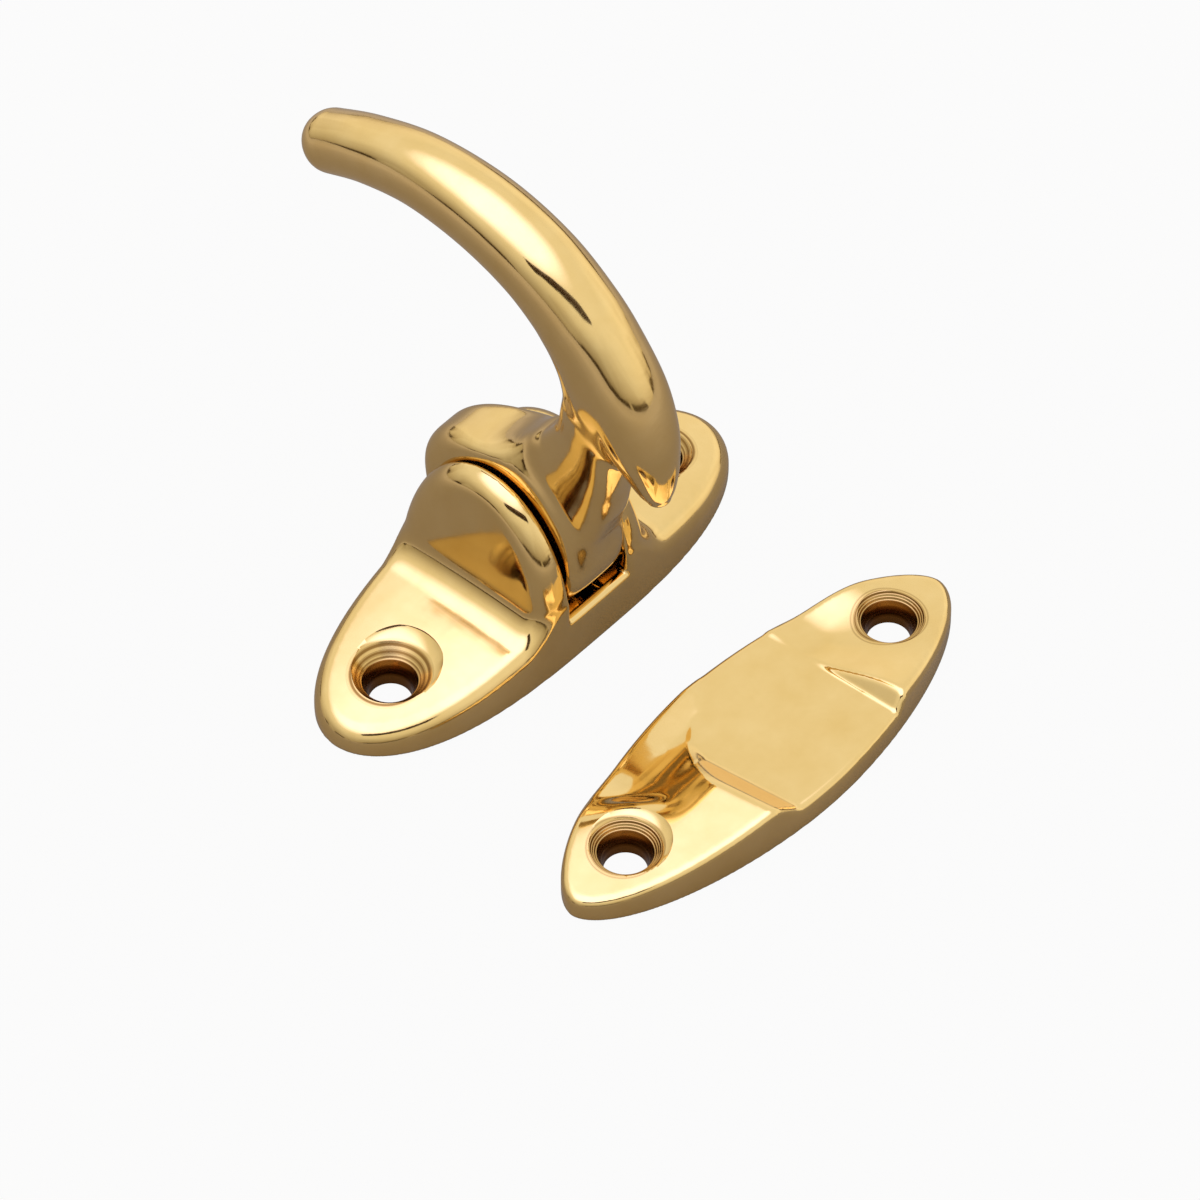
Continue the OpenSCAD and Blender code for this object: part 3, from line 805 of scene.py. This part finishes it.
for obj, brass, body, node, slot in ((baseCast, baseBrass, "base", "base_casting", "base_brass"),
                                     (keeperCast, keeperBrass, "base", "keeper_plate", "keeper_brass"),
                                     (leverCast, castBrass, "lever", "lever", "lever_brass")):
    obj.data.materials.clear()
    obj.data.materials.append(brass)
    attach(obj, body)
    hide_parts(node)
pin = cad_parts["pivot_pin"]
pin.data.materials.clear()
pin.data.materials.append(pinBrass)
springWire.data.materials.append(springSteel)
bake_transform(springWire)  # the hub's leg turns with the lever
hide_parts("torsion_spring")
print("materials")

# Floor: white for the camera, and for the metal a warm tone with a painted shadow near the object that fades
# paler further out. In metres.
paper = {
    # near is the painted shadow's colour close to the object, and far is the floor's own tone further out.
    "size": 3.0, "below": 0.00005, "near": (0.205, 0.176, 0.134, 1), "far": (0.36, 0.32, 0.26, 1),
    "shadowFullTo": 0.07, "shadowGoneFrom": 0.32, "roughness": 0.9, "whiteForCamera": 0.95, "whiteForMetal": 0.02,
}


def buildFloor():
    bm = bmesh.new()
    bmesh.ops.create_grid(bm, x_segments=1, y_segments=1, size=paper["size"])
    floor = newObject("floor", bm)
    floor.location.z = -paper["below"]
    mat = bpy.data.materials.new("floorPaper")
    mat.use_nodes = True
    tree = mat.node_tree
    shader = tree.nodes["Principled BSDF"]
    place = tree.nodes.new("ShaderNodeTexCoord").outputs["Object"]
    away = vectorNode(tree, "LENGTH", place).outputs["Value"]
    # Painted shadow: darkest near the object, fading to the far tone.
    shadowFade = rangeNode(tree, away, paper["shadowFullTo"], paper["shadowGoneFrom"])
    put(tree, shader.inputs["Base Color"], mixColor(tree, shadowFade, paper["near"], paper["far"]))
    shader.inputs["Roughness"].default_value = paper["roughness"]
    rays = tree.nodes.new("ShaderNodeLightPath").outputs
    metal = mathNode(tree, "MULTIPLY", rays["Is Glossy Ray"], paper["whiteForMetal"])
    white = mathNode(tree, "MULTIPLY_ADD", rays["Is Camera Ray"], paper["whiteForCamera"], metal)
    glow = tree.nodes.new("ShaderNodeEmission")
    mix = tree.nodes.new("ShaderNodeMixShader")
    for socket, value in zip(mix.inputs, (white, shader.outputs[0], glow.outputs[0])):
        put(tree, socket, value)
    put(tree, tree.nodes["Material Output"].inputs["Surface"], mix.outputs[0])
    floor.data.materials.append(mat)


# Room: its brightness by height above the horizon (as a sine), with a soft light overhead.
# Low down, the far side is brighter than the camera's side, and lifts break the dark line at the horizon.
studio = {
    "tones": ((0.0, 0.07), (0.05, 0.08), (0.07, 0.46), (0.1, 0.54), (0.17, 0.66), (0.34, 0.82), (0.5, 0.92),
              (0.64, 0.96), (0.85, 0.98), (1.0, 0.96)),
    "greenPower": 1.15, "bluePower": 1.4,
    "liftScale": 2.6, "liftFrom": 0.46, "liftTo": 0.56, "lift": 0.08,
    "sideX": 0.7, "nearSide": 0.72, "farSide": 1.4, "evenFrom": 0.2, "evenTo": 0.6,
    "overhead": (-0.19, 0.05, 0.98), "overheadEdge": 0.7, "overheadFull": 0.95, "overheadAmount": 1.1,
    "overheadTint": (0.95, 1.0, 1.9),
}


def buildWorld():
    world = bpy.data.worlds.new("studio")
    bpy.context.scene.world = world
    world.use_nodes = True
    tree = world.node_tree
    place = tree.nodes.new("ShaderNodeTexCoord").outputs["Generated"]
    split = tree.nodes.new("ShaderNodeSeparateXYZ")
    put(tree, split.inputs[0], place)
    x, z = split.outputs["X"], split.outputs["Z"]
    uneven = tree.nodes.new("ShaderNodeTexNoise")
    for name, v in (("Vector", place), ("Scale", studio["liftScale"]), ("Detail", 1)):
        put(tree, uneven.inputs[name], v)
    lift = rangeNode(tree, uneven.outputs["Fac"], studio["liftFrom"], studio["liftTo"], toMax=studio["lift"])
    tones = [(at, (v, v ** studio["greenPower"], v ** studio["bluePower"], 1)) for at, v in studio["tones"]]
    air = rampNode(tree, mathNode(tree, "ADD", z, lift), tones)
    across = rangeNode(tree, x, -studio["sideX"], studio["sideX"], studio["nearSide"], studio["farSide"])
    even = tree.nodes.new("ShaderNodeMix")
    height = rangeNode(tree, z, studio["evenFrom"], studio["evenTo"])
    for name, v in (("Factor", height), ("A", across), ("B", 1.0)):
        put(tree, even.inputs[name], v)
    room = vectorNode(tree, "MULTIPLY", air, even.outputs["Result"]).outputs["Vector"]
    facing = vectorNode(tree, "DOT_PRODUCT", place, studio["overhead"]).outputs["Value"]
    glow = rangeNode(tree, facing, studio["overheadEdge"], studio["overheadFull"],
                     toMax=studio["overheadAmount"], curve="SMOOTHSTEP")
    total = vectorNode(tree, "MULTIPLY_ADD", glow, studio["overheadTint"], room).outputs["Vector"]
    put(tree, tree.nodes["Background"].inputs["Color"], total)
    tree.nodes["Background"].inputs["Strength"].default_value = 1.0


def aimAt(obj, target):
    obj.rotation_euler = (Vector(target) - obj.location).to_track_quat("-Z", "Y").to_euler()


# Dark bar beside the camera. The camera doesn't see it, but the metal reflects it.
bar = {
    "length": 0.9, "width": 0.13, "place": (-0.63, -0.5, 0.74), "turn": -48, "tilt": -4,
    "color": (0.06, 0.03, 0.012, 1), "roughness": 0.9,
}


def buildBar():
    bm = bmesh.new()
    bmesh.ops.create_cube(bm, size=1)
    bmesh.ops.scale(bm, verts=bm.verts, vec=(bar["length"], bar["width"], bar["width"]))
    darkBar = newObject("darkBar", bm)
    darkBar.location = bar["place"]
    darkBar.rotation_euler = (0, math.radians(bar["tilt"]), math.radians(bar["turn"]))
    darkBar.visible_camera = False
    mat = bpy.data.materials.new("darkCloth")
    mat.use_nodes = True
    shader = mat.node_tree.nodes["Principled BSDF"]
    shader.inputs["Base Color"].default_value = bar["color"]
    shader.inputs["Roughness"].default_value = bar["roughness"]
    darkBar.data.materials.append(mat)


lamp = {"size": 1.0, "energy": 4, "place": (-0.35, 0.1, 1.4)}


def buildLamp():
    softbox = bpy.data.lights.new("softbox", "AREA")
    softbox.size = lamp["size"]
    softbox.energy = lamp["energy"]
    obj = bpy.data.objects.new("softbox", softbox)
    obj.location = lamp["place"]
    aimAt(obj, (0, 0, 0))
    obj.visible_glossy = False
    bpy.context.scene.collection.objects.link(obj)


view = {
    "place": (-0.4991, -0.4473, 0.7420), "aim": (0.004925, -0.007330, -0.001004),
    "lens": 260, "sensor": 36, "farthest": 10,
}


def buildCamera():
    cam = bpy.data.cameras.new("camera")
    cam.lens = view["lens"]
    cam.sensor_width = view["sensor"]
    cam.clip_end = view["farthest"]
    obj = bpy.data.objects.new("camera", cam)
    obj.location = view["place"]
    aimAt(obj, view["aim"])
    bpy.context.scene.collection.objects.link(obj)
    bpy.context.scene.camera = obj
    bpy.context.scene.view_settings.view_transform = "Standard"


buildFloor()
buildWorld()
buildBar()
buildLamp()
buildCamera()
print("stage")
